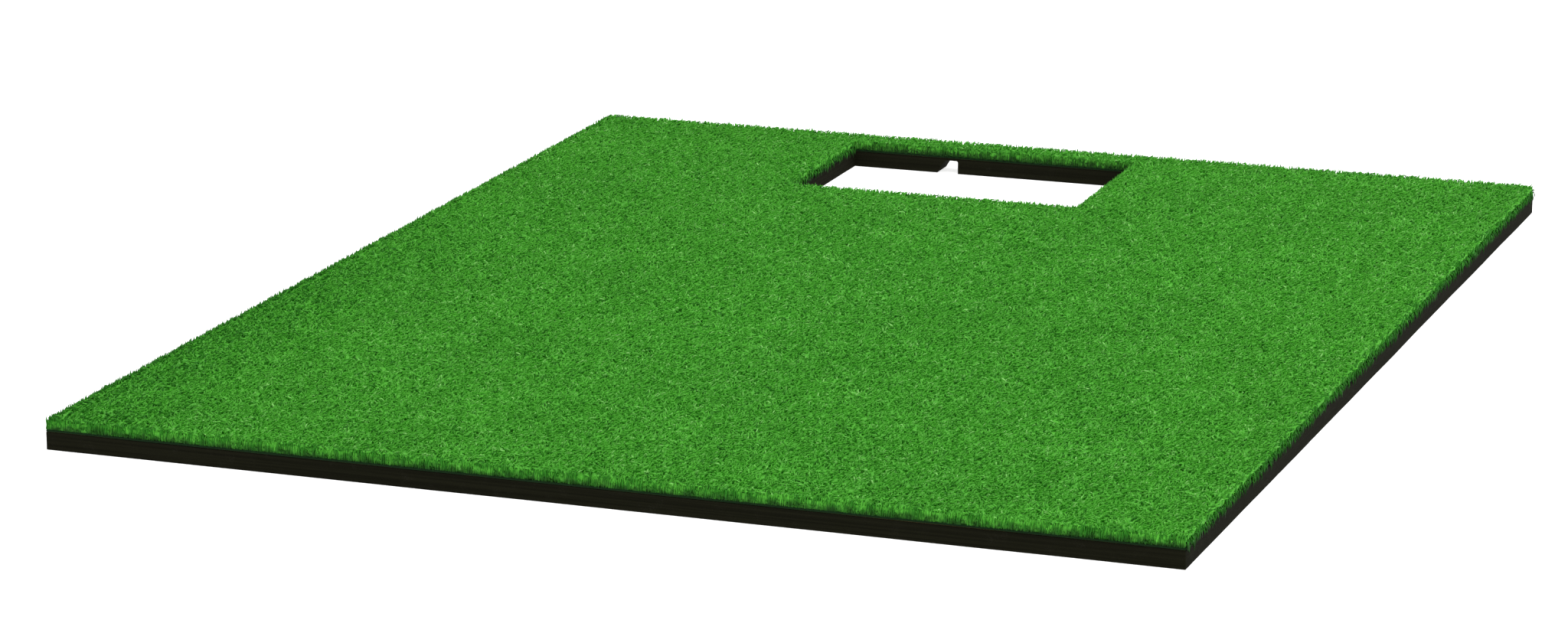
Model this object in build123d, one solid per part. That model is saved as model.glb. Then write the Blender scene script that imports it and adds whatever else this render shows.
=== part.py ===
from build123d import *
import os

# Golf hitting mat: a tufted turf top bonded to a foam base, with a rectangular
# window cut through every layer for a swing-sensor pad, and a cable channel cut
# in the underside of the foam from the window to the back edge.
#
# Frame, in millimetres: origin at the centre of the underside, +X to the right,
# +Y to the back, +Z up.

# Driving dimensions of the mat
MAT_WIDTH = 1219.2           # along X, 4 ft
MAT_LENGTH = 1524.0          # along Y, 5 ft

# Layers, from the floor up
FOAM_THICKNESS = 19.05       # closed-cell foam base, 3/4 in
BOND_THICKNESS = 0.4         # contact adhesive between foam and turf
COATING_THICKNESS = 1.7      # cured coating that locks the tufts
CLOTH_THICKNESS = 0.7        # woven cloth that the yarn is tufted through
PILE_HEIGHT = 12.7           # yarn standing above the cloth, 1/2 in
PILE_SHOULDER = 2.5          # rounding where the pile falls away at a cut edge

# Window for the sensor pad, cut through every layer
WINDOW_WIDTH = 372.0         # along X
WINDOW_LENGTH = 250.0        # along Y
WINDOW_FROM_LEFT = 352.5     # mat's left edge to the window's left edge
WINDOW_FROM_BACK = 36.6      # strip left standing behind the window

# Cable channel in the underside of the foam
CHANNEL_WIDTH = 27.5         # along X, at the floor
CHANNEL_HEIGHT = 16.5        # from the floor up to its ceiling
CHANNEL_LEAN = 10.0          # how far the left side leans in on its way up
CHANNEL_FROM_WINDOW = 110.5  # window's left edge to the channel's left edge
CHANNEL_CORNER = 2.0         # radius that the cutter leaves along the ceiling

# Worked-out places
WINDOW_X = WINDOW_FROM_LEFT + WINDOW_WIDTH / 2 - MAT_WIDTH / 2
WINDOW_Y = MAT_LENGTH / 2 - WINDOW_FROM_BACK - WINDOW_LENGTH / 2
CHANNEL_LEFT = WINDOW_X - WINDOW_WIDTH / 2 + CHANNEL_FROM_WINDOW
CHANNEL_RIGHT = CHANNEL_LEFT + CHANNEL_WIDTH
COATING_BOTTOM = FOAM_THICKNESS + BOND_THICKNESS
CLOTH_BOTTOM = COATING_BOTTOM + COATING_THICKNESS
PILE_BOTTOM = CLOTH_BOTTOM + CLOTH_THICKNESS


def mat_outline():
    """The mat's plan shape, with the sensor window cut out of it."""
    with BuildSketch() as outline:
        Rectangle(MAT_WIDTH, MAT_LENGTH)
        with Locations((WINDOW_X, WINDOW_Y)):
            Rectangle(WINDOW_WIDTH, WINDOW_LENGTH, mode=Mode.SUBTRACT)
    return outline.sketch


def layer(bottom, thickness):
    """A flat layer of the mat, cut to the full plan shape."""
    return Pos(0, 0, bottom) * extrude(mat_outline(), thickness)


def cable_channel():
    """The space that the channel's cutter clears, from the window past the back edge."""
    outline = [
        (CHANNEL_LEFT, -CHANNEL_HEIGHT),
        (CHANNEL_RIGHT, -CHANNEL_HEIGHT),
        (CHANNEL_RIGHT, CHANNEL_HEIGHT),
        (CHANNEL_LEFT + CHANNEL_LEAN, CHANNEL_HEIGHT),
        (CHANNEL_LEFT, 0),
    ]
    with BuildSketch(Plane.XZ) as section:
        Polygon(*outline, align=None)
        fillet(section.vertices().group_by(Axis.Z)[-1], CHANNEL_CORNER)
    run = WINDOW_LENGTH / 2 + 2 * WINDOW_FROM_BACK
    return Pos(0, WINDOW_Y + run, 0) * extrude(section.sketch, run)


def foam_base():
    """The foam slab, with the channel open to the floor, the window and the back edge."""
    return layer(0, FOAM_THICKNESS) - cable_channel()


def turf_pile():
    """The space that the standing yarn fills, rounded over along its cut edges."""
    pile = layer(PILE_BOTTOM, PILE_HEIGHT)
    return fillet(pile.edges().group_by(Axis.Z)[-1], PILE_SHOULDER)


def main():
    """Writes each piece of the mat as a STEP file of its own."""
    pieces = {
        "foam_base": foam_base(),
        "bond_film": layer(FOAM_THICKNESS, BOND_THICKNESS),
        "turf_coating": layer(COATING_BOTTOM, COATING_THICKNESS),
        "turf_cloth": layer(CLOTH_BOTTOM, CLOTH_THICKNESS),
        "turf_pile": turf_pile(),
    }
    os.makedirs("parts", exist_ok=True)
    for name, piece in pieces.items():
        export_step(piece, f"parts/{name}.step")


main()
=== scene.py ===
"""A golf hitting mat: short tufted turf bonded to a black foam base.

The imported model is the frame, and every size here is in metres in that frame: origin at
the centre of the underside, +X to the right, +Y to the edge behind the sensor window.
"""

import logging
import math
from collections.abc import Callable, Iterator
from dataclasses import dataclass, field
from enum import Enum

import bpy
import numpy as np
from mathutils import Matrix, Vector, noise


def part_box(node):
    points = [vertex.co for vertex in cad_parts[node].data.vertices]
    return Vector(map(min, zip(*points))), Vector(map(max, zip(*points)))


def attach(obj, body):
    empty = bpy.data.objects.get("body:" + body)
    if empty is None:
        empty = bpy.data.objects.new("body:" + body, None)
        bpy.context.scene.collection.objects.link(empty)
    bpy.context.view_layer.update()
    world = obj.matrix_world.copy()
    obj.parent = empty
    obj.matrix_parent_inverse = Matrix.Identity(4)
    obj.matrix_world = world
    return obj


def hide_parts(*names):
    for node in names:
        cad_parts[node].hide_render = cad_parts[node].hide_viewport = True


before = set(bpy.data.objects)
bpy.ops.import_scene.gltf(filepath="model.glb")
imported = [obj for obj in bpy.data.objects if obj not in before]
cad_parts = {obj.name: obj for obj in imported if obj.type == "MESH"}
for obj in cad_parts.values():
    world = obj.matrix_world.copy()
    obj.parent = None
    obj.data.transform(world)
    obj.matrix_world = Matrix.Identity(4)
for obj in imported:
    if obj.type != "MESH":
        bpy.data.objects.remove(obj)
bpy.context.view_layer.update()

log = logging.getLogger("hitting_mat")

MM = 0.001
SLIVER = 0.5 * MM  # two places closer than this count as one
BODY = "root"

Colour = tuple[float, float, float, float]
Triple = tuple[float, float, float]


# ---------------------------------------------------------------- the plan of the mat


@dataclass(frozen=True)
class Rect:
    """A rectangle on the floor plan, with its sides along X and Y."""

    left: float
    right: float
    front: float
    back: float

    @property
    def width(self) -> float:
        """The size along X."""
        return self.right - self.left

    @property
    def length(self) -> float:
        """The size along Y."""
        return self.back - self.front

    @property
    def centre(self) -> tuple[float, float]:
        """The middle of the rectangle."""
        return (self.left + self.right) / 2, (self.front + self.back) / 2

    def grown(self, by: float) -> "Rect":
        """The rectangle with every side moved outwards by a distance."""
        return Rect(self.left - by, self.right + by, self.front - by, self.back + by)

    def depth(self, x: np.ndarray, y: np.ndarray) -> np.ndarray:
        """How far each place is inside the nearest side, negative outside."""
        return np.minimum(
            np.minimum(x - self.left, self.right - x), np.minimum(y - self.front, self.back - y)
        )


@dataclass(frozen=True)
class Channel:
    """The cable channel in the underside of the foam. Its left side leans in as it rises."""

    left: float
    right: float
    ceiling: float
    lean: float

    @classmethod
    def read(cls, foam: np.ndarray, window: Rect) -> "Channel":
        """Finds the channel among the foam's corners.

        Args:
            foam: The places of the foam's vertices, one row each.
            window: The sensor window.

        Returns:
            The channel, with both its sides taken at the floor.
        """
        x, y, z = foam.T
        across = (x > window.left + SLIVER) & (x < window.right - SLIVER)
        within = across & (y > window.back - SLIVER)
        floor = x[within & (z < SLIVER)]
        left, right = floor.min(), floor.max()
        roof = foam[within & (z > SLIVER) & (z < z.max() - SLIVER)]
        leaning = roof[roof[:, 0] < (left + right) / 2]
        jamb_end = leaning[leaning[:, 2].argmin()]
        ceiling = roof[:, 2].max()
        return cls(left, right, ceiling, (jamb_end[0] - left) / jamb_end[2] * ceiling)


@dataclass(frozen=True)
class MatPlan:
    """The outline, window and cable channel, all read from the frame."""

    outline: Rect
    window: Rect
    channel: Channel

    @classmethod
    def read(cls) -> "MatPlan":
        """Measures the frame's own nodes.

        Returns:
            The plan that every piece is cut to.
        """
        low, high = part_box("turf_cloth")
        outline = Rect(low.x, high.x, low.y, high.y)
        cloth = vertex_places(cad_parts["turf_cloth"])
        cut = cloth[outline.depth(cloth[:, 0], cloth[:, 1]) > SLIVER]
        window = Rect(cut[:, 0].min(), cut[:, 0].max(), cut[:, 1].min(), cut[:, 1].max())
        foam = vertex_places(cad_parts["foam_base"])
        return cls(outline, window, Channel.read(foam, window))

    @property
    def area(self) -> float:
        """The plan area of the mat without its window."""
        mat = self.outline.width * self.outline.length
        return mat - self.window.width * self.window.length

    def edge_distance(self, x: np.ndarray, y: np.ndarray) -> np.ndarray:
        """How far each place on the mat is from the nearest cut edge."""
        return np.minimum(self.outline.depth(x, y), -self.window.depth(x, y))

    def way_out(self, x: np.ndarray, y: np.ndarray) -> np.ndarray:
        """The angle of the shortest way off the mat from each place, in radians."""
        reach = 1.0 * MM
        slope_x = self.edge_distance(x + reach, y) - self.edge_distance(x - reach, y)
        slope_y = self.edge_distance(x, y + reach) - self.edge_distance(x, y - reach)
        return np.arctan2(-slope_y, -slope_x)


# ---------------------------------------------------------------- shader node wiring


class Graph:
    """A node tree that is wired with short calls."""

    def __init__(self, tree: bpy.types.NodeTree) -> None:
        """Takes the tree that new nodes go into."""
        self.tree = tree

    def add(self, kind: str, sockets: dict | None = None, **settings: object) -> bpy.types.Node:
        """Adds one node.

        Args:
            kind: The node's class name without its ShaderNode prefix.
            sockets: What each input takes, by name or number: a socket to link, or a value.
            settings: The node's own properties.

        Returns:
            The new node.
        """
        node = self.tree.nodes.new("ShaderNode" + kind)
        for name, value in settings.items():
            setattr(node, name, value)
        for name, value in (sockets or {}).items():
            if isinstance(value, bpy.types.NodeSocket):
                self.tree.links.new(value, node.inputs[name])
            else:
                node.inputs[name].default_value = value
        return node

    def math(self, operation: str, first: object, second: object = 0.0) -> bpy.types.NodeSocket:
        """A Math node's result."""
        return self.add("Math", {0: first, 1: second}, operation=operation).outputs[0]

    def noise(self, where: object, scale: float, detail: float = 2.0) -> bpy.types.NodeSocket:
        """A Noise Texture's value at a place."""
        sockets = {"Vector": where, "Scale": scale, "Detail": detail}
        return self.add("TexNoise", sockets).outputs["Fac"]

    def mix(self, share: object, first: object, second: object) -> bpy.types.NodeSocket:
        """Two colours mixed, from the first at 0 to the second at 1."""
        return self.add("Mix", {0: share, 6: first, 7: second}, data_type="RGBA").outputs[2]

    def between(
        self, value: object, low: object, high: object, start: float = 0.0, end: float = 1.0
    ) -> bpy.types.NodeSocket:
        """A value that goes smoothly from start to end as the input goes from low to high."""
        sockets = {0: value, 1: low, 2: high, 3: start, 4: end}
        return self.add("MapRange", sockets, interpolation_type="SMOOTHSTEP").outputs[0]

    def stretched(self, where: object, scale: Triple) -> bpy.types.NodeSocket:
        """A place with each axis scaled by its own factor."""
        return self.add("Mapping", {"Vector": where, "Scale": scale}).outputs[0]


class SharedEffect:
    """A node group that is built once and placed in each material that needs it."""

    made: dict[str, bpy.types.NodeTree] = {}

    def __init__(
        self,
        name: str,
        takes: dict[str, str],
        gives: dict[str, str],
        wire: Callable[[Graph, bpy.types.Node, bpy.types.Node], None],
    ) -> None:
        """Describes the group.

        Args:
            name: The group's name.
            takes: Input names, and whether each is a Float, Color or Vector.
            gives: Output names, and the same for each.
            wire: Wires the nodes between the group's own input and output nodes.
        """
        self.name, self.takes, self.gives, self.wire = name, takes, gives, wire

    def tree(self) -> bpy.types.NodeTree:
        """Builds the group's tree on the first call.

        Returns:
            The tree, which all later calls share.
        """
        if self.name not in self.made:
            tree = bpy.data.node_groups.new(self.name, "ShaderNodeTree")
            for direction, sockets in (("INPUT", self.takes), ("OUTPUT", self.gives)):
                for name, kind in sockets.items():
                    socket = "NodeSocket" + kind
                    tree.interface.new_socket(name, in_out=direction, socket_type=socket)
            source, sink = tree.nodes.new("NodeGroupInput"), tree.nodes.new("NodeGroupOutput")
            self.wire(Graph(tree), source, sink)
            self.made[self.name] = tree
        return self.made[self.name]

    def place(self, graph: Graph, sockets: dict) -> bpy.types.Node:
        """Puts the effect into a material, with its own values."""
        return graph.add("Group", sockets, node_tree=self.tree())


def wire_yarn_tone_and_shade(graph: Graph, source: bpy.types.Node, sink: bpy.types.Node) -> None:
    """Yarn colour with painted shade, darker towards its foot, and deeper and paler ends among the
    rest.

    Args:
        graph: The group's graph.
        source: The group's input node.
        sink: The group's output node.
    """
    where, tone = source.outputs["Where"], source.outputs["Tone"]
    deep, body, fleck = (source.outputs[name] for name in ("Deep", "Body", "Fleck"))
    clumps = graph.between(graph.noise(where, 120.0), 0.30, 0.70, -0.31, 0.31)
    rows = graph.noise(graph.stretched(where, (14.0, 110.0, 14.0)), 1.0)
    rows = graph.between(rows, 0.35, 0.65, -0.07, 0.07)
    tone = graph.math("ADD", tone, graph.math("ADD", clumps, rows))
    dark_ends = graph.mix(graph.between(tone, -0.10, 0.42), deep, body)
    pale_ends = graph.mix(graph.between(tone, 0.77, 1.18), dark_ends, fleck)
    patches = graph.between(graph.noise(where, 9.0, 3.0), 0.3, 0.7, 0.0, 0.16)
    drifted = graph.mix(patches, pale_ends, deep)
    # painted shade: the colour goes from the shadow colour low down to full colour higher up,
    # raised per strand by its lift and with a ragged edge
    ragged = graph.between(graph.noise(where, 150.0, 3.0), 0.3, 0.7, -2.6 * MM, 2.6 * MM)
    height = graph.math("ADD", graph.add("SeparateXYZ", {0: where}).outputs[2], ragged)
    height = graph.math("ADD", height, source.outputs["Lift"])
    lit = graph.between(height, source.outputs["Foot"], source.outputs["Tip"])
    shaded = graph.mix(lit, source.outputs["Shadow"], drifted)
    graph.tree.links.new(shaded, sink.inputs["Colour"])


def wire_surface_grain(graph: Graph, source: bpy.types.Node, sink: bpy.types.Node) -> None:
    """Small closed cells over a broader unevenness, with a mask of where dust settles.

    Args:
        graph: The group's graph.
        source: The group's input node.
        sink: The group's output node.
    """
    where = source.outputs["Where"]
    cells = graph.add("TexVoronoi", {"Vector": where, "Scale": source.outputs["Cell Scale"]})
    uneven = graph.noise(where, 55.0, 4.0)
    fine = graph.noise(where, 900.0, 2.0)
    height = graph.math("ADD", graph.math("MULTIPLY", cells.outputs[0], 0.5), uneven)
    height = graph.math("ADD", height, graph.math("MULTIPLY", fine, 0.4))
    dust = graph.math("MULTIPLY", graph.between(uneven, 0.52, 0.72), graph.between(fine, 0.45, 0.7))
    dust = graph.math("MULTIPLY", dust, source.outputs["Dust"])
    graph.tree.links.new(height, sink.inputs["Height"])
    graph.tree.links.new(dust, sink.inputs["Dust"])


YARN_TONE_AND_SHADE = SharedEffect(
    "yarn_tone_and_painted_shade",
    {
        "Where": "Vector", "Tone": "Float", "Deep": "Color", "Body": "Color",
        "Fleck": "Color", "Shadow": "Color", "Foot": "Float", "Tip": "Float", "Lift": "Float",
    },
    {"Colour": "Color"},
    wire_yarn_tone_and_shade,
)
SURFACE_GRAIN = SharedEffect(
    "surface_grain",
    {"Where": "Vector", "Cell Scale": "Float", "Dust": "Float"},
    {"Height": "Float", "Dust": "Float"},
    wire_surface_grain,
)


# ---------------------------------------------------------------- finishes


class Finish:
    """A finish that makes one material."""

    name = "finish"
    rough = 0.8
    specular = 0.3

    def material(self) -> bpy.types.Material:
        """Makes the material, with its plain values on the shader and its patterns wired in.

        Returns:
            The material.
        """
        made = bpy.data.materials.new(self.name)
        made.use_nodes = True
        graph = Graph(made.node_tree)
        shader = made.node_tree.nodes["Principled BSDF"]
        shader.inputs["Roughness"].default_value = self.rough
        shader.inputs["Specular IOR Level"].default_value = self.specular
        where = graph.add("TexCoord").outputs["Object"]
        self.wire(graph, where, shader)
        return made

    def wire(self, graph: Graph, where: bpy.types.NodeSocket, shader: bpy.types.Node) -> None:
        """Wires the finish's patterns into the shader."""
        raise NotImplementedError

    @staticmethod
    def relief(
        graph: Graph, shader: bpy.types.Node, height: bpy.types.NodeSocket, depth: float
    ) -> None:
        """Bumps the surface by a height pattern.

        Args:
            graph: The material's graph.
            shader: The material's shader.
            height: The pattern, from 0 to about 1.
            depth: How deep the pattern goes, in metres.
        """
        sockets = {"Height": height, "Distance": depth, "Strength": 1.0}
        graph.tree.links.new(graph.add("Bump", sockets).outputs[0], shader.inputs["Normal"])


@dataclass(frozen=True)
class FoamFinish(Finish):
    """Black closed-cell foam, sliced to size with a long blade."""

    name: str = "foam_closed_cell"
    rough: float = 0.92
    specular: float = 0.04
    black: Colour = (0.0056, 0.0056, 0.0028, 1.0)
    cut: Colour = (0.0090, 0.0090, 0.0047, 1.0)
    dusty: Colour = (0.026, 0.025, 0.019, 1.0)

    def wire(self, graph: Graph, where: bpy.types.NodeSocket, shader: bpy.types.Node) -> None:
        """Cells, level slicing lines and a little dust.

        Args:
            graph: The material's graph.
            where: The place on the piece.
            shader: The material's shader.
        """
        lines = graph.noise(graph.stretched(where, (3.0, 3.0, 420.0)), 1.0, 4.0)
        tone = graph.mix(graph.between(lines, 0.35, 0.65), self.black, self.cut)
        grain = SURFACE_GRAIN.place(graph, {"Where": where, "Cell Scale": 850.0, "Dust": 0.35})
        colour = graph.mix(grain.outputs["Dust"], tone, self.dusty)
        graph.tree.links.new(colour, shader.inputs["Base Color"])
        dull = graph.between(lines, 0.3, 0.7, self.rough, 0.99)
        graph.tree.links.new(dull, shader.inputs["Roughness"])
        height = graph.math("ADD", grain.outputs["Height"], graph.math("MULTIPLY", lines, 0.8))
        self.relief(graph, shader, height, 0.35 * MM)


@dataclass(frozen=True)
class YarnFinish(Finish):
    """Curled green turf yarn."""

    name: str = "turf_yarn"
    rough: float = 0.62
    specular: float = 0.16
    deep: Colour = (0.026, 0.205, 0.010, 1.0)
    body: Colour = (0.102, 0.474, 0.040, 1.0)
    fleck: Colour = (0.305, 0.730, 0.185, 1.0)
    # shadow, foot and tip are painted shade: the yarn goes from the shadow colour at the foot
    # height to its full colour at the tip height
    shadow: Colour = (0.006, 0.042, 0.002, 1.0)
    foot: float = 0.0190
    tip: float = 0.0332
    tone_from_yarn: bool = True

    def wire(self, graph: Graph, where: bpy.types.NodeSocket, shader: bpy.types.Node) -> None:
        """Each strand's own tone, the shade at its foot and the filaments along it.

        Args:
            graph: The material's graph.
            where: The place on the piece.
            shader: The material's shader.
        """
        if self.tone_from_yarn:
            tone = graph.add("Attribute", attribute_name=TONE).outputs["Fac"]
        else:
            tone = graph.noise(where, 420.0, 3.0)
        sockets = {
            "Where": where, "Tone": tone, "Deep": self.deep, "Body": self.body,
            "Fleck": self.fleck, "Shadow": self.shadow, "Foot": self.foot, "Tip": self.tip,
        }
        if self.tone_from_yarn:
            sockets["Lift"] = graph.add("Attribute", attribute_name=LIFT).outputs["Fac"]
        colour = YARN_TONE_AND_SHADE.place(graph, sockets).outputs["Colour"]
        graph.tree.links.new(colour, shader.inputs["Base Color"])
        filaments = graph.noise(graph.stretched(where, (2600.0, 2600.0, 700.0)), 1.0, 2.0)
        dull = graph.between(filaments, 0.3, 0.7, 0.55, 0.75)
        graph.tree.links.new(dull, shader.inputs["Roughness"])
        self.relief(graph, shader, filaments, 0.12 * MM)


@dataclass(frozen=True)
class ClothFinish(Finish):
    """Woven slit-tape cloth that the yarn is tufted through."""

    name: str = "backing_cloth"
    rough: float = 0.8
    specular: float = 0.06
    tape: Colour = (0.006, 0.030, 0.006, 1.0)
    gap: Colour = (0.002, 0.008, 0.002, 1.0)
    weave_scale: float = 32.5

    def wire(self, graph: Graph, where: bpy.types.NodeSocket, shader: bpy.types.Node) -> None:
        """A plain weave from two sets of bands.

        Args:
            graph: The material's graph.
            where: The place on the piece.
            shader: The material's shader.
        """
        bands = [
            graph.add(
                "TexWave", {"Vector": where, "Scale": self.weave_scale, "Distortion": 0.4},
                bands_direction=direction,
            ).outputs["Fac"]
            for direction in ("X", "Y")
        ]
        weave = graph.math("MAXIMUM", bands[0], bands[1])
        graph.tree.links.new(graph.mix(weave, self.gap, self.tape), shader.inputs["Base Color"])
        self.relief(graph, shader, weave, 0.2 * MM)


@dataclass(frozen=True)
class CoatingFinish(Finish):
    """A cured layer: the turf's coating, or the adhesive under it."""

    name: str = "turf_coating"
    rough: float = 0.85
    specular: float = 0.06
    plain: Colour = (0.006, 0.018, 0.006, 1.0)
    pale: Colour = (0.014, 0.034, 0.012, 1.0)
    cell_scale: float = 320.0

    def wire(self, graph: Graph, where: bpy.types.NodeSocket, shader: bpy.types.Node) -> None:
        """Cured skin with small bubbles.

        Args:
            graph: The material's graph.
            where: The place on the piece.
            shader: The material's shader.
        """
        grain = SURFACE_GRAIN.place(
            graph, {"Where": where, "Cell Scale": self.cell_scale, "Dust": 0.6}
        )
        colour = graph.mix(grain.outputs["Dust"], self.plain, self.pale)
        graph.tree.links.new(colour, shader.inputs["Base Color"])
        self.relief(graph, shader, grain.outputs["Height"], 0.3 * MM)


# ---------------------------------------------------------------- modelling helpers


def clear_selection() -> None:
    """Deselects everything, so that an operator acts on the new piece alone."""
    for other in bpy.context.selected_objects:
        other.select_set(False)


def select_faces(piece: bpy.types.Object, wanted: Callable[[bpy.types.MeshPolygon], bool]) -> None:
    """Selects just the faces that pass a test, and leaves the piece in edit mode.

    Args:
        piece: The piece, in edit mode.
        wanted: The test of a face.
    """
    bpy.ops.mesh.select_mode(type="FACE")
    bpy.ops.mesh.select_all(action="DESELECT")
    bpy.ops.object.mode_set(mode="OBJECT")
    for face in piece.data.polygons:
        face.select = wanted(face)
    bpy.ops.object.mode_set(mode="EDIT")


def between_cuts(start: float, end: float, cell: float) -> Iterator[float]:
    """The places that divide a stretch into even cells, without its two ends."""
    count = max(1, round((end - start) / cell))
    for step in range(1, count):
        yield start + (end - start) * step / count


def cut_lines(stops: list[float], cell: float) -> list[float]:
    """Every line to cut at: the inner stops, and the even cells between all of them."""
    lines = stops[1:-1]
    for start, end in zip(stops, stops[1:]):
        lines.extend(between_cuts(start, end, cell))
    return lines


def bisect_all(places: list[float], axis: Vector) -> None:
    """Cuts the whole mesh being edited with a plane at each place along an axis."""
    for place in places:
        bpy.ops.mesh.select_all(action="SELECT")
        bpy.ops.mesh.bisect(plane_co=axis * place, plane_no=axis)


def extrude(move: Vector | Triple) -> None:
    """Draws the selection out by a distance along each axis."""
    bpy.ops.mesh.extrude_region_move(TRANSFORM_OT_translate={"value": move})


def finish_mesh(piece: bpy.types.Object) -> None:
    """Turns all faces outwards and leaves edit mode."""
    bpy.ops.mesh.select_all(action="SELECT")
    bpy.ops.mesh.normals_make_consistent(inside=False)
    bpy.ops.object.mode_set(mode="OBJECT")
    piece.data.update()


def vertex_places(piece: bpy.types.Object) -> np.ndarray:
    """The places of a piece's vertices, one row each."""
    flat = np.empty(len(piece.data.vertices) * 3)
    piece.data.vertices.foreach_get("co", flat)
    return flat.reshape(-1, 3)


def place_vertices(piece: bpy.types.Object, places: np.ndarray) -> None:
    """Puts a piece's vertices at new places."""
    piece.data.vertices.foreach_set("co", places.ravel())
    piece.data.update()


def add_modifier(piece: bpy.types.Object, kind: str, **settings: object) -> None:
    """Adds a modifier with its settings and applies it."""
    modifier = piece.modifiers.new(kind.lower(), kind)
    for name, value in settings.items():
        setattr(modifier, name, value)
    bpy.context.view_layer.objects.active = piece
    bpy.ops.object.modifier_apply(modifier=modifier.name)


def dress(piece: bpy.types.Object, finish: Finish) -> None:
    """Gives a piece its material."""
    piece.data.materials.clear()
    piece.data.materials.append(finish.material())


def report(piece: bpy.types.Object) -> None:
    """Logs a piece's size and how many triangles it has."""
    piece.data.calc_loop_triangles()
    size = " x ".join(f"{side / MM:.1f}" for side in piece.dimensions)
    log.info("%s: %d triangles, %s mm", piece.name, len(piece.data.loop_triangles), size)


@dataclass
class CutSheet:
    """A flat layer cut to the mat's plan, with the small waves that a hand-held knife leaves."""

    plan: MatPlan
    name: str
    bottom: float
    top: float
    cell: float = 25 * MM
    inset: float = 0.0
    wave: float = 0.3 * MM
    easing: float = 0.15 * MM
    seed: float = 0.0

    def plan_stops(self) -> tuple[list[float], list[float]]:
        """The places along X and Y where an edge of the plan lies."""
        outline, window = self.plan.outline, self.plan.window
        return (
            [outline.left, window.left, window.right, outline.right],
            [outline.front, window.front, window.back, outline.back],
        )

    def build(self) -> bpy.types.Object:
        """Models the layer.

        Returns:
            The finished piece, with its place in its mesh.
        """
        clear_selection()
        outline, window = self.plan.outline, self.plan.window
        bpy.ops.mesh.primitive_plane_add(size=1.0, location=(*outline.centre, self.start_height()))
        piece = bpy.context.object
        piece.name = piece.data.name = self.name
        piece.scale = (outline.width, outline.length, 1.0)
        bpy.ops.object.transform_apply(location=True, scale=True)
        bpy.ops.object.mode_set(mode="EDIT")
        along_x, along_y = self.plan_stops()
        bisect_all(cut_lines(along_x, self.cell), Vector((1, 0, 0)))
        bisect_all(cut_lines(along_y, self.cell), Vector((0, 1, 0)))
        select_faces(piece, lambda face: inside(window, face.center))
        bpy.ops.mesh.delete(type="FACE")
        self.thicken(piece)
        finish_mesh(piece)
        self.wander(piece)
        self.ease(piece)
        return piece

    def start_height(self) -> float:
        """The height that the flat shape is drawn at before it is given its thickness."""
        return self.bottom

    def thicken(self, piece: bpy.types.Object) -> None:
        """Draws the flat shape up to its full thickness."""
        bpy.ops.mesh.select_all(action="SELECT")
        extrude((0, 0, self.top - self.bottom))

    def wander(self, piece: bpy.types.Object) -> None:
        """Moves the cut edges in and out by a fraction of a millimetre.

        Args:
            piece: The layer's mesh, out of edit mode.
        """
        places = vertex_places(piece)
        distance = self.plan.edge_distance(places[:, 0], places[:, 1])
        angle = self.plan.way_out(places[:, 0], places[:, 1])
        for index in np.nonzero(distance < SLIVER)[0]:
            x, y, z = places[index]
            slow = noise.noise(Vector((x * 9, y * 9, z * 30 + self.seed)))
            quick = noise.noise(Vector((x * 70, y * 70, z * 60 + self.seed)))
            shift = self.wave * (slow + 0.4 * quick) - self.inset
            places[index, 0] += shift * math.cos(angle[index])
            places[index, 1] += shift * math.sin(angle[index])
        place_vertices(piece, places)

    def ease(self, piece: bpy.types.Object) -> None:
        """Takes the sharpness off the long edges, unless the easing is nothing.

        Args:
            piece: The layer's mesh, out of edit mode.
        """
        if not self.easing:
            return
        add_modifier(
            piece, "BEVEL", width=self.easing, segments=2, limit_method="ANGLE",
            angle_limit=math.radians(50),
        )
        clear_selection()
        piece.select_set(True)
        bpy.ops.object.shade_smooth_by_angle(angle=math.radians(35))


def inside(rect: Rect, place: Vector) -> bool:
    """Whether a place lies within a rectangle."""
    return rect.left < place.x < rect.right and rect.front < place.y < rect.back


# ---------------------------------------------------------------- the foam base


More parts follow.
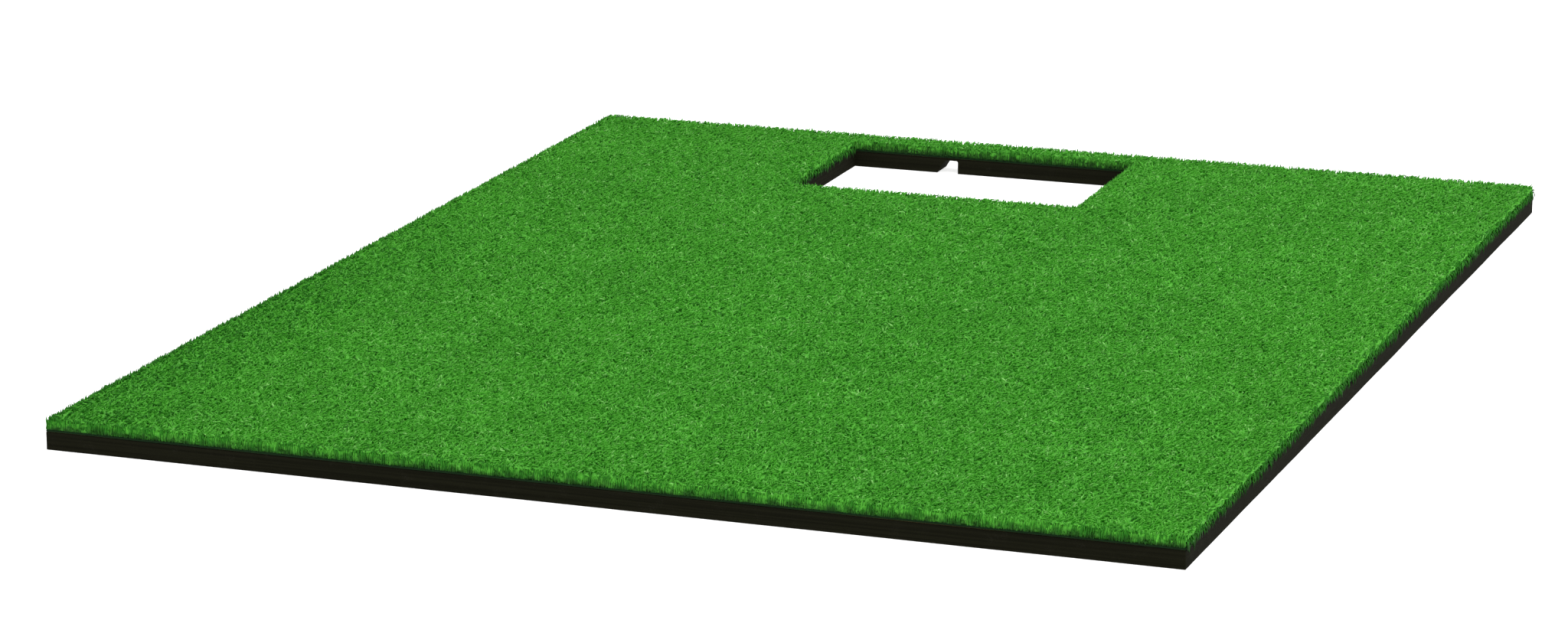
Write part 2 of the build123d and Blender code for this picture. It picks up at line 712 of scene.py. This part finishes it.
@dataclass
class FoamBase(CutSheet):
    """The foam slab, with the cable channel open to the floor, the window and the back."""

    cell: float = 16 * MM
    wave: float = 0.45 * MM
    easing: float = 0.3 * MM
    channel_corner: float = 2.0 * MM
    wall_bands: float = 4.5 * MM

    def plan_stops(self) -> tuple[list[float], list[float]]:
        """The plan's own stops, and the channel's two sides."""
        along_x, along_y = super().plan_stops()
        channel = self.plan.channel
        return sorted([*along_x, channel.left, channel.right]), along_y

    def start_height(self) -> float:
        """The slab is drawn at the channel's ceiling, and grows both ways from there."""
        return self.plan.channel.ceiling

    def in_channel(self, face: bpy.types.MeshPolygon) -> bool:
        """Whether a face lies over the channel."""
        channel, window = self.plan.channel, self.plan.window
        return channel.left < face.center.x < channel.right and face.center.y > window.back

    def thicken(self, piece: bpy.types.Object) -> None:
        """Draws the slab up from the ceiling, then everything but the channel down to the floor.

        Args:
            piece: The slab's flat shape, in edit mode.
        """
        ceiling = self.plan.channel.ceiling
        bpy.ops.mesh.select_all(action="SELECT")
        extrude((0, 0, self.top - ceiling))
        select_faces(
            piece,
            lambda face: face.center.z < ceiling + SLIVER
            and abs(face.normal.z) > 0.5
            and not self.in_channel(face),
        )
        extrude((0, 0, -ceiling))
        bisect_all(list(between_cuts(0, ceiling, self.wall_bands)), Vector((0, 0, 1)))
        self.lean_channel(piece)
        self.round_channel(piece)

    def lean_channel(self, piece: bpy.types.Object) -> None:
        """Leans the channel's left side in, more and more towards the ceiling.

        Args:
            piece: The slab, in edit mode.
        """
        channel, behind = self.plan.channel, self.plan.window.back - SLIVER
        bpy.ops.object.mode_set(mode="OBJECT")
        for vertex in piece.data.vertices:
            place = vertex.co
            on_side = abs(place.x - channel.left) < SLIVER and place.y > behind
            if on_side and place.z < channel.ceiling + SLIVER:
                place.x += channel.lean * place.z / channel.ceiling
        bpy.ops.object.mode_set(mode="EDIT")

    def round_channel(self, piece: bpy.types.Object) -> None:
        """Rounds the two long corners of the channel's ceiling.

        Args:
            piece: The slab, in edit mode.
        """
        channel = self.plan.channel
        corners = (channel.left + channel.lean, channel.right)
        bpy.ops.mesh.select_mode(type="EDGE")
        bpy.ops.mesh.select_all(action="DESELECT")
        bpy.ops.object.mode_set(mode="OBJECT")
        mesh = piece.data
        for edge in mesh.edges:
            ends = [mesh.vertices[index].co for index in edge.vertices]
            edge.select = all(
                abs(end.z - channel.ceiling) < SLIVER
                and min(abs(end.x - corner) for corner in corners) < SLIVER
                and end.y > self.plan.window.back - SLIVER
                for end in ends
            )
        bpy.ops.object.mode_set(mode="EDIT")
        bpy.ops.mesh.bevel(offset=self.channel_corner, segments=4)

    def dress(self) -> None:
        """Builds the foam, dresses it and puts it in its frame node's place."""
        piece = self.build()
        dress(piece, FoamFinish())
        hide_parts("foam_base")
        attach(piece, BODY)
        report(piece)


# ---------------------------------------------------------------- the turf's backing


@dataclass
class TurfBacking:
    """The hidden layers under the pile: adhesive, coating and cloth."""

    plan: MatPlan
    pieces: dict[str, bpy.types.Object] = field(default_factory=dict)

    def layer(self, node: str, name: str, finish: Finish, slot: str, **cut: float) -> None:
        """Builds one layer as a sheet in its frame node's place.

        Args:
            node: The frame node that the layer stands for.
            name: The piece's own name.
            finish: Its finish.
            slot: Not used.
            cut: How its edges were cut.
        """
        low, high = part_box(node)
        piece = CutSheet(self.plan, name, low.z, high.z, **cut).build()
        dress(piece, finish)
        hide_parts(node)
        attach(piece, BODY)
        self.pieces[name] = piece
        report(piece)

    def build(self) -> None:
        """Builds the three layers."""
        adhesive = CoatingFinish(
            name="contact_adhesive", plain=(0.10, 0.070, 0.028, 1.0), pale=(0.20, 0.15, 0.07, 1.0),
            cell_scale=500.0, rough=0.5,
        )
        self.layer(
            "bond_film", "contact_adhesive_coat", adhesive, "adhesive",
            inset=1.2 * MM, wave=0.5 * MM, easing=0.1 * MM, seed=3.0,
        )
        self.layer(
            "turf_coating", "turf_coating_sheet", CoatingFinish(), "coating",
            inset=0.3 * MM, wave=0.5 * MM, seed=7.0,
        )
        self.layer(
            "turf_cloth", "turf_cloth_sheet", ClothFinish(), "backing_cloth",
            inset=0.1 * MM, wave=0.5 * MM, easing=0.1 * MM, seed=8.0,
        )


# ---------------------------------------------------------------- the pile

TONE = "tone"  # each strand's own tone, from 0 for the deepest to 1 for the palest
LIFT = "lift"  # how much higher than it stands a strand is lit, in metres


class StrandKind(Enum):
    """How an end of yarn stands."""

    STANDING = "standing"
    CURLED = "curled"
    HOOKED = "hooked"
    LYING = "lying"
    FRINGE = "fringe"
    DROOPING = "drooping"
    HANGING = "hanging"


@dataclass(frozen=True)
class StrandForm:
    """One end of yarn, drawn up ring by ring. It leans towards +X as it rises.

    The lists give each drawn stretch: how far it rises, how far it goes along X and Y,
    how wide it is at its end, and the slant of its end from level.
    """

    kind: StrandKind
    rise: tuple[float, float, float]
    along: tuple[float, float, float]
    aside: tuple[float, float, float]
    width: tuple[float, float, float]
    slant: tuple[float, float]

    def model(self) -> tuple[np.ndarray, np.ndarray]:
        """Models the strand ring by ring and reads it off.

        Returns:
            Its vertices and its triangles, one row each.
        """
        clear_selection()
        bpy.ops.mesh.primitive_circle_add(
            vertices=3, radius=self.width[0] / 2 * MM, fill_type="NGON", location=(0, 0, 0)
        )
        strand = bpy.context.object
        bpy.ops.object.mode_set(mode="EDIT")
        bpy.ops.mesh.select_all(action="SELECT")
        place, wide, leaning = Vector((0, 0, 0)), self.width[0], 0.0
        for step, (rise, along, aside) in enumerate(zip(self.rise, self.along, self.aside)):
            move = Vector((along, aside, rise)) * MM
            extrude(move)
            place += move
            if step == len(self.rise) - 1:
                bpy.ops.mesh.merge(type="CENTER")
                break
            narrower = self.width[step + 1] / wide
            wide = self.width[step + 1]
            bpy.ops.transform.resize(value=(narrower,) * 3, center_override=place)
            turn = math.radians(self.slant[step]) - leaning
            leaning += turn
            # with no window the rotate operator turns the other way, hence the sign
            bpy.ops.transform.rotate(value=-turn, orient_axis="Y", center_override=place)
        finish_mesh(strand)
        places = vertex_places(strand)
        faces = [tuple(face.vertices) for face in strand.data.polygons]
        mesh = strand.data
        bpy.data.objects.remove(strand)
        bpy.data.meshes.remove(mesh)
        return places, triangulated(faces)


def triangulated(faces: list[tuple[int, ...]]) -> np.ndarray:
    """Splits faces of three or four corners.

    Args:
        faces: Each face's vertex numbers.

    Returns:
        The triangles, one row each.
    """
    rows = []
    for face in faces:
        rows.append(face[:3])
        if len(face) == 4:
            rows.append((face[0], face[2], face[3]))
    return np.array(rows)


FIELD_FORMS = (
    StrandForm(
        StrandKind.STANDING, rise=(2.3, 2.0, 1.3), along=(0.6, 1.3, 1.2),
        aside=(0.0, 0.5, -0.8), width=(2.2, 2.0, 1.6), slant=(20, 40),
    ),
    StrandForm(
        StrandKind.CURLED, rise=(2.6, 1.5, 0.3), along=(0.9, 2.7, 3.0),
        aside=(0.3, -0.6, -1.4), width=(2.2, 2.1, 1.7), slant=(38, 78),
    ),
    StrandForm(
        StrandKind.CURLED, rise=(2.9, 1.3, -0.4), along=(0.7, 2.9, 2.7),
        aside=(-0.5, 0.9, 1.6), width=(2.2, 2.0, 1.6), slant=(38, 84),
    ),
    StrandForm(
        StrandKind.HOOKED, rise=(3.1, 1.6, -1.2), along=(1.0, 2.2, 2.4),
        aside=(0.0, 1.0, 0.9), width=(2.2, 1.9, 1.5), slant=(34, 92),
    ),
    StrandForm(
        StrandKind.HOOKED, rise=(2.7, 2.0, -0.7), along=(1.2, 1.7, 2.8),
        aside=(-0.6, -0.9, 0.7), width=(2.1, 2.0, 1.5), slant=(38, 88),
    ),
    StrandForm(
        StrandKind.LYING, rise=(3.1, 0.6, 0.2), along=(1.1, 3.2, 3.2),
        aside=(0.4, -1.2, 1.3), width=(2.2, 2.2, 1.8), slant=(58, 86),
    ),
)
EDGE_FORMS = (
    StrandForm(
        StrandKind.FRINGE, rise=(4.9, 4.6, 4.0), along=(0.6, 0.5, 0.1),
        aside=(0.3, -0.7, 0.8), width=(2.3, 2.1, 1.7), slant=(8, 5),
    ),
    StrandForm(
        StrandKind.FRINGE, rise=(4.8, 4.5, 3.7), along=(0.4, 0.8, 0.7),
        aside=(-0.6, 0.6, 0.9), width=(2.3, 2.1, 1.7), slant=(10, 20),
    ),
    StrandForm(
        StrandKind.FRINGE, rise=(4.9, 4.6, 2.5), along=(0.5, 0.8, 1.3),
        aside=(0.7, 0.5, -1.1), width=(2.4, 2.1, 1.7), slant=(10, 42),
    ),
    StrandForm(
        StrandKind.DROOPING, rise=(1.6, 0.1, -2.8), along=(1.3, 1.0, 0.4),
        aside=(0.4, -0.5, 0.7), width=(2.1, 1.9, 1.4), slant=(55, 120),
    ),
    StrandForm(
        StrandKind.HANGING, rise=(1.2, -3.0, -4.6), along=(1.9, 1.2, 0.2),
        aside=(0.3, -0.5, 0.7), width=(2.2, 2.0, 1.6), slant=(70, 160),
    ),
)
EDGE_KINDS = [form.kind for form in EDGE_FORMS]
UPRIGHT_EDGE_FORMS = EDGE_KINDS.count(StrandKind.FRINGE)
DROOPING_FORM = EDGE_KINDS.index(StrandKind.DROOPING)
HANGING_FORM = EDGE_KINDS.index(StrandKind.HANGING)
UPWIND = -0.5  # a cut whose way out has a smaller cosine than this has the nap leaning back from it


@dataclass
class Strew:
    """Where copies of the strands go, and how each is turned and sized."""

    x: np.ndarray
    y: np.ndarray
    z: np.ndarray
    heading: np.ndarray
    size: np.ndarray
    form: np.ndarray
    tone: np.ndarray
    lift: np.ndarray

    def part(self, wanted: np.ndarray) -> "Strew":
        """Only the copies that are wanted."""
        return Strew(*(getattr(self, name)[wanted] for name in self.__dataclass_fields__))

    def piece(self, name: str, models: list[tuple[np.ndarray, np.ndarray]]) -> bpy.types.Object:
        """Copies the modelled strands to their places, as one piece.

        Args:
            name: The piece's name.
            models: Each form's vertices and triangles.

        Returns:
            The piece, with each strand's tone and lift in attributes.
        """
        places, faces, count = [], [], 0
        own = {TONE: [], LIFT: []}
        for number, (corners, triangles) in enumerate(models):
            some = self.part(self.form == number)
            cos, sin = np.cos(some.heading)[:, None], np.sin(some.heading)[:, None]
            local = corners[None] * some.size[:, None, None]
            turned = np.stack(
                [
                    local[:, :, 0] * cos - local[:, :, 1] * sin + some.x[:, None],
                    local[:, :, 0] * sin + local[:, :, 1] * cos + some.y[:, None],
                    local[:, :, 2] + some.z[:, None],
                ],
                axis=2,
            )
            first = count + len(corners) * np.arange(len(some.x))
            places.append(turned.reshape(-1, 3))
            faces.append((triangles[None] + first[:, None, None]).reshape(-1, 3))
            own[TONE].append(np.repeat(some.tone, len(corners)))
            own[LIFT].append(np.repeat(some.lift, len(corners)))
            count += len(corners) * len(some.x)
        values = {key: np.concatenate(rows) for key, rows in own.items()}
        return yarn_piece(name, np.concatenate(places), np.concatenate(faces), values)


def yarn_piece(
    name: str, places: np.ndarray, faces: np.ndarray, own: dict[str, np.ndarray]
) -> bpy.types.Object:
    """Makes one mesh object of many strands.

    Args:
        name: The piece's name.
        places: All vertices, one row each.
        faces: All triangles, one row each.
        own: Each attribute's name, and its value at every vertex.

    Returns:
        The piece, linked into the scene.
    """
    mesh = bpy.data.meshes.new(name)
    mesh.vertices.add(len(places))
    mesh.vertices.foreach_set("co", places.ravel())
    mesh.loops.add(faces.size)
    mesh.loops.foreach_set("vertex_index", faces.ravel())
    mesh.polygons.add(len(faces))
    mesh.polygons.foreach_set("loop_start", np.arange(0, faces.size, 3))
    mesh.polygons.foreach_set("use_smooth", np.ones(len(faces), bool))
    for key, values in own.items():
        mesh.attributes.new(key, "FLOAT", "POINT").data.foreach_set("value", values)
    mesh.update(calc_edges=True)
    mesh.validate()
    piece = bpy.data.objects.new(name, mesh)
    bpy.context.scene.collection.objects.link(piece)
    return piece


@dataclass
class TurfPile:
    """The standing yarn: a matted body with strands all over it and a fringe at every cut."""

    plan: MatPlan
    foot: float
    top: float
    sets: int = 8
    strands_per_set: int = 11900
    mat_share: float = 0.73
    body_cell: float = 5.2 * MM
    body_lump: float = 0.45 * MM
    body_sway: float = 0.8 * MM
    root_sink: float = 1.2 * MM
    field_margin: float = 0.8 * MM
    edge_band: float = 6.0 * MM
    edge_fall: float = 0.8 * MM
    fringe_pitch: float = 1.8 * MM
    fringe_rows: tuple[float, ...] = (0.6 * MM, 1.8 * MM, 3.2 * MM)
    droop_share: float = 0.20
    hang_share: float = 0.52
    hang_within: float = 2.4 * MM
    highest_hanging_root: float = 5.5 * MM
    upwind_size: float = 1.05
    outward_push: float = 0.8
    # painted shade on the fringe: its tone is darkened along the cuts, and the height it is lit
    # from is moved up or down
    edge_painted_shade: float = 0.20
    left_edge_fringe_darkening: float = 0.3
    edge_lift: float = 0.5 * MM
    lee_lift: float = 1.2 * MM
    upwind_drop: float = 4.3 * MM
    window_back_drop: float = 4.0 * MM
    curl_size: float = 22 * MM
    left_edge_width: float = 160 * MM
    left_edge_darkening: float = 0.40
    left_edge_shortening: float = 0.05
    seed: int = 41
    chance: np.random.Generator = field(init=False)

    def __post_init__(self) -> None:
        """Starts the row of random draws."""
        self.chance = np.random.default_rng(self.seed)

    def build(self) -> None:
        """Builds the body, the field of strands and the fringe."""
        self.matted_body()
        field_models = [form.model() for form in FIELD_FORMS]
        edge_models = [form.model() for form in EDGE_FORMS]
        everywhere = self.field_places()
        batch = np.arange(len(everywhere.x)) % self.sets
        for number in range(self.sets):
            some = everywhere.part(batch == number)
            self.add(some.piece(f"pile_yarn_{number + 1}", field_models))
        self.add(self.edge_places().piece("pile_fringe", edge_models))

    def add(self, piece: bpy.types.Object) -> None:
        """Dresses a piece of yarn and rides it on the mat."""
        dress(piece, YarnFinish())
        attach(piece, BODY)
        report(piece)

    def matted_body(self) -> None:
        """The lower, matted part of the pile, which shows only between the strands."""
        height = (self.top - self.foot) * self.mat_share
        layer = CutSheet(
            self.plan, "pile_matted_body", self.foot, self.foot + height, self.body_cell,
            inset=0.7 * MM, wave=0.4 * MM, easing=0.0, seed=11.0,
        )
        piece = layer.build()
        self.refill_underside(piece)
        self.tangle(piece, self.foot + height)
        for face in piece.data.polygons:
            face.use_smooth = True
        dress(piece, YarnFinish(name="turf_yarn_matted", tone_from_yarn=False))
        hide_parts("turf_pile")
        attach(piece, BODY)
        report(piece)

    def refill_underside(self, piece: bpy.types.Object) -> None:
        """Replaces the underside's many small faces with a few large ones.

        Args:
            piece: The body's mesh, out of edit mode.
        """
        clear_selection()
        piece.select_set(True)
        bpy.context.view_layer.objects.active = piece
        bpy.ops.object.mode_set(mode="EDIT")
        level = self.foot + SLIVER
        select_faces(piece, lambda face: face.center.z < level and face.normal.z < -0.5)
        bpy.ops.mesh.delete(type="FACE")
        bpy.ops.mesh.select_mode(type="EDGE")
        bpy.ops.mesh.select_all(action="DESELECT")
        bpy.ops.mesh.select_non_manifold(extend=False)
        bpy.ops.mesh.fill(use_beauty=True)
        finish_mesh(piece)

    def tangle(self, piece: bpy.types.Object, level: float) -> None:
        """Gives the top of the body the lumps of tangled yarn, lower along the cuts.

        Args:
            piece: The body's mesh.
            level: The height of its top.
        """
        places = vertex_places(piece)
        top = np.nonzero(places[:, 2] > level - SLIVER)[0]
        lumps = self.chance.normal(0.0, self.body_lump, len(top))
        distance = self.plan.edge_distance(places[top, 0], places[top, 1])
        falling = np.clip(1 - distance / self.edge_band, 0, 1) ** 2 * self.edge_fall
        places[top, 2] += lumps.clip(-2 * self.body_lump, 2 * self.body_lump) - falling
        off_the_cut = distance > self.body_cell / 2
        for axis in (0, 1):
            sway = self.chance.normal(0, self.body_sway, len(top))
            places[top, axis] += np.where(off_the_cut, sway, 0)
        place_vertices(piece, places)

    def field_places(self) -> Strew:
        """Strews strands in loose rows along X over the whole mat.

        Returns:
            The strew, in a random order, so that any part of it covers the whole mat.
        """
        outline = self.plan.outline
        pitch = math.sqrt(self.plan.area / (self.sets * self.strands_per_set))
        columns, rows = int(outline.width / pitch), int(outline.length / pitch)
        x, y = np.meshgrid(
            outline.left + (np.arange(columns) + 0.5) * outline.width / columns,
            outline.front + (np.arange(rows) + 0.5) * outline.length / rows,
        )
        x = x.ravel() + self.chance.uniform(-0.5, 0.5, x.size) * pitch
        y = y.ravel() + self.chance.uniform(-0.42, 0.42, y.size) * pitch
        on_mat = self.plan.edge_distance(x, y) > self.field_margin
        x, y = x[on_mat], y[on_mat]
        order = self.chance.permutation(len(x))
        x, y = x[order], y[order]
        strew = self.strewn(x, y, len(FIELD_FORMS), spread=1.2)
        # darker and a little shorter along the left edge, most at the front
        strew.tone -= self.left_edge_darkening * self.left_edge_weight(x, y)
        strew.size *= 1 - self.left_edge_shortening * self.left_edge_weight(x, y)
        return strew

    def left_edge_weight(self, x: np.ndarray, y: np.ndarray) -> np.ndarray:
        """How much the yarn along the left edge is darkened and shortened, from 0 to 1, most at the
        front.
        """
        outline = self.plan.outline
        across = np.clip(1 - (x - outline.left) / self.left_edge_width, 0, 1)
        return across * np.clip((0.6 * outline.back - y) / (0.46 * outline.length), 0, 1)

    def edge_places(self) -> Strew:
        """Strews rows of full-length strands along every cut, leaning out over it.

        Returns:
            The strew.
        """
        rings = [
            rect.grown(side * set_back)
            for rect, side in ((self.plan.outline, -1.0), (self.plan.window, 1.0))
            for set_back in self.fringe_rows
        ]
        x, y = np.concatenate([self.along_sides(ring) for ring in rings], axis=1)
        strew = self.strewn(x, y, UPRIGHT_EDGE_FORMS, spread=0.7)
        out = self.plan.way_out(x, y)
        self.lay_over(strew, out)
        self.shade_fringe(strew, np.cos(out))
        return strew

    def lay_over(self, strew: Strew, out: np.ndarray) -> None:
        """Hangs or droops some strands over the cut, and leans the rest between it and the nap.

        Args:
            strew: The fringe strands.
            out: The angle of the shortest way off the mat at each strand, in radians.
        """
        count, lee = len(strew.x), np.cos(out)
        luck = self.chance.uniform(0, 1, count)
        by_cut = self.plan.edge_distance(strew.x, strew.y) < self.hang_within
        hangs = (luck < self.hang_share * lee) & by_cut
        droops = luck > 1 - self.droop_share * np.clip(1 + lee, 0.0, 1.6)
        over, upwind = hangs | droops, lee < UPWIND
        strew.form = np.select([hangs, droops], [HANGING_FORM, DROOPING_FORM], strew.form)
        push = self.outward_push
        leaning = np.arctan2(push * np.sin(out), push * lee + 1.0) + self.turn(0.5, count)
        strew.heading = np.where(over, out + self.turn(0.5, count), leaning)
        strew.heading = np.where(upwind, self.turn(0.7, count), strew.heading)
        climb = self.chance.uniform(0, self.highest_hanging_root, count)
        strew.z = self.foot + np.where(over, climb, 0.0)
        strew.size *= np.where(hangs, self.chance.uniform(0.75, 1.25, count), 1.0)
        strew.size *= np.where(upwind, self.upwind_size, 1.0)

    def turn(self, spread: float, count: int) -> np.ndarray:
        """Random turns either way, in radians."""
        return self.chance.normal(0, spread, count)

    def shade_fringe(self, strew: Strew, lee: np.ndarray) -> None:
        """Paints shade on the fringe by darkening its tone, and sets how high up it is lit.

        Args:
            strew: The fringe strands.
            lee: 1 where the nap leans out over the cut, -1 where it leans back from it.
        """
        by_window = self.plan.window.grown(self.edge_band).depth(strew.x, strew.y) > 0
        # painted shade along the cuts, more where the nap leans out and less by the window, plus
        # the darkening along the left edge
        painted_shade_and_darkening = self.edge_painted_shade * (1 + 1.2 * lee.clip(0, 1))
        painted_shade_and_darkening += self.left_edge_fringe_darkening * self.left_edge_weight(strew.x, strew.y)
        strew.tone = strew.tone * 0.6 - np.where(by_window, 0.5, 1.0) * painted_shade_and_darkening
        # painted shade: the fringe behind the window is lit from higher up, so more of it is dark
        behind = by_window & (strew.y > self.plan.window.back)
        strew.lift = self.edge_lift + np.where(lee > 0, self.lee_lift, self.upwind_drop) * lee
        strew.lift -= np.where(behind, self.window_back_drop, 0.0)

    def along_sides(self, ring: Rect) -> np.ndarray:
        """Spaces places unevenly all the way round a rectangle.

        Args:
            ring: The rectangle.

        Returns:
            A row of places along X, and one along Y.
        """
        around = []
        for along_x, start, end, level in (
            (True, ring.left, ring.right, ring.front),
            (True, ring.left, ring.right, ring.back),
            (False, ring.front, ring.back, ring.left),
            (False, ring.front, ring.back, ring.right),
        ):
            count = int((end - start) / self.fringe_pitch)
            step = np.arange(count) + self.chance.uniform(0.1, 0.9, count)
            run = start + step * (end - start) / count
            off = level + self.chance.normal(0, 0.25 * MM, count)
            around.append(np.stack([run, off] if along_x else [off, run]))
        return np.concatenate(around, axis=1)

    def strewn(self, x: np.ndarray, y: np.ndarray, forms: int, spread: float) -> Strew:
        """Turns, sizes and shades a strand at each place.

        Args:
            x: The places along X.
            y: The places along Y.
            forms: How many forms to choose from.
            spread: How far a heading may turn from the nap, in radians.

        Returns:
            The strew.
        """
        count = len(x)
        distance = self.plan.edge_distance(x, y)
        near = np.clip(1 - distance / self.edge_band, 0, 1)
        combed = [noise.noise(Vector((a, b, 0.0)) / self.curl_size) for a, b in zip(x, y)]
        heading = math.pi * np.array(combed) + self.chance.uniform(-spread, spread, count)
        out = self.plan.way_out(x, y)
        upwind = np.cos(out) < UPWIND
        by_cut = near * np.where(upwind, 2.5, 1.0) > self.chance.uniform(0, 1, count)
        heading = np.where(by_cut, np.where(upwind, 0.0, out) + self.turn(0.6, count), heading)
        body_top = self.foot + (self.top - self.foot) * self.mat_share
        root = body_top - self.root_sink - near**2 * 0.3 * MM
        tone = self.chance.beta(2.2, 2.2, count) - 0.12 * near
        size = self.chance.normal(1.0, 0.07, count).clip(0.8, 1.15)
        form = self.chance.integers(0, forms, count)
        lift = self.chance.normal(0, 0.8 * MM, count)
        return Strew(x, y, root, heading, size, form, tone, lift)


# ---------------------------------------------------------------- the studio


@dataclass(frozen=True)
class Studio:
    """A plain pale floor, soft light and the camera."""

    floor_size: float = 60.0
    floor_colour: Colour = (0.90, 0.90, 0.895, 1.0)
    floor_glow: float = 0.80
    sky_strength: float = 0.78
    camera_place: Triple = (1.862, -5.176, 1.462)
    camera_turn: float = 20.59
    camera_dip: float = 14.83
    camera_roll: float = -0.31
    lens: float = 115.9

    def build(self) -> None:
        """Sets up the whole studio."""
        bpy.context.scene.view_settings.view_transform = "Standard"
        self.lay_floor()
        self.light()
        self.place_camera()

    def lay_floor(self) -> None:
        """A pale matte floor, well past the view."""
        clear_selection()
        bpy.ops.mesh.primitive_plane_add(size=self.floor_size, location=(0, 0, -0.2 * MM))
        floor = bpy.context.object
        floor.name = "studio_floor"
        bpy.ops.object.transform_apply(location=True)
        paint = bpy.data.materials.new("studio_floor")
        paint.use_nodes = True
        shader = paint.node_tree.nodes["Principled BSDF"]
        shader.inputs["Base Color"].default_value = self.floor_colour
        shader.inputs["Roughness"].default_value = 0.9
        shader.inputs["Specular IOR Level"].default_value = 0.1
        shader.inputs["Emission Color"].default_value = self.floor_colour
        shader.inputs["Emission Strength"].default_value = self.floor_glow
        floor.data.materials.append(paint)

    def light(self) -> None:
        """An even pale surround, a large softbox above the front and one above the back."""
        world = bpy.data.worlds.new("pale_surround")
        world.use_nodes = True
        background = world.node_tree.nodes["Background"]
        background.inputs["Color"].default_value = (1.0, 1.0, 1.0, 1.0)
        background.inputs["Strength"].default_value = self.sky_strength
        bpy.context.scene.world = world
        self.softbox("key_softbox", place=(1.3, -1.0, 3.6), side=3.0, power=60.0)
        self.softbox("fill_softbox", place=(1.9, 2.3, 2.7), side=2.4, power=32.0)

    @staticmethod
    def softbox(name: str, place: Triple, side: float, power: float) -> None:
        """Hangs a square area light that faces the mat.

        Args:
            name: The light's name.
            place: Its centre.
            side: Its side.
            power: Its power in watts.
        """
        data = bpy.data.lights.new(name, "AREA")
        data.shape, data.size, data.energy = "SQUARE", side, power
        lamp = bpy.data.objects.new(name, data)
        facing = (-Vector(place)).to_track_quat("-Z", "Y").to_matrix().to_4x4()
        lamp.matrix_world = Matrix.Translation(place) @ facing
        bpy.context.scene.collection.objects.link(lamp)

    def place_camera(self) -> None:
        """Stands the camera in front and to the right, looking down on the mat."""
        turn, dip = math.radians(self.camera_turn), math.radians(self.camera_dip)
        ahead = Vector(
            (-math.sin(turn) * math.cos(dip), math.cos(turn) * math.cos(dip), -math.sin(dip))
        )
        right = Vector((math.cos(turn), math.sin(turn), 0))
        tilted = Matrix.Rotation(math.radians(-self.camera_roll), 3, ahead) @ right
        up = tilted.cross(ahead)
        data = bpy.data.cameras.new("studio_camera")
        data.lens = self.lens
        data.clip_end = 200.0
        camera = bpy.data.objects.new("studio_camera", data)
        axes = Matrix((tilted, up, -ahead)).transposed().to_4x4()
        camera.matrix_world = Matrix.Translation(self.camera_place) @ axes
        bpy.context.scene.collection.objects.link(camera)
        bpy.context.scene.camera = camera


def main() -> None:
    """Builds the studio and the mat, from the floor up."""
    logging.basicConfig(level=logging.INFO, format="%(name)s: %(message)s")
    Studio().build()
    plan = MatPlan.read()
    low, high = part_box("foam_base")
    FoamBase(plan, "foam_slab", low.z, high.z).dress()
    TurfBacking(plan).build()
    pile_low, pile_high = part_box("turf_pile")
    TurfPile(plan, pile_low.z, pile_high.z).build()


if __name__ == "__main__":
    main()
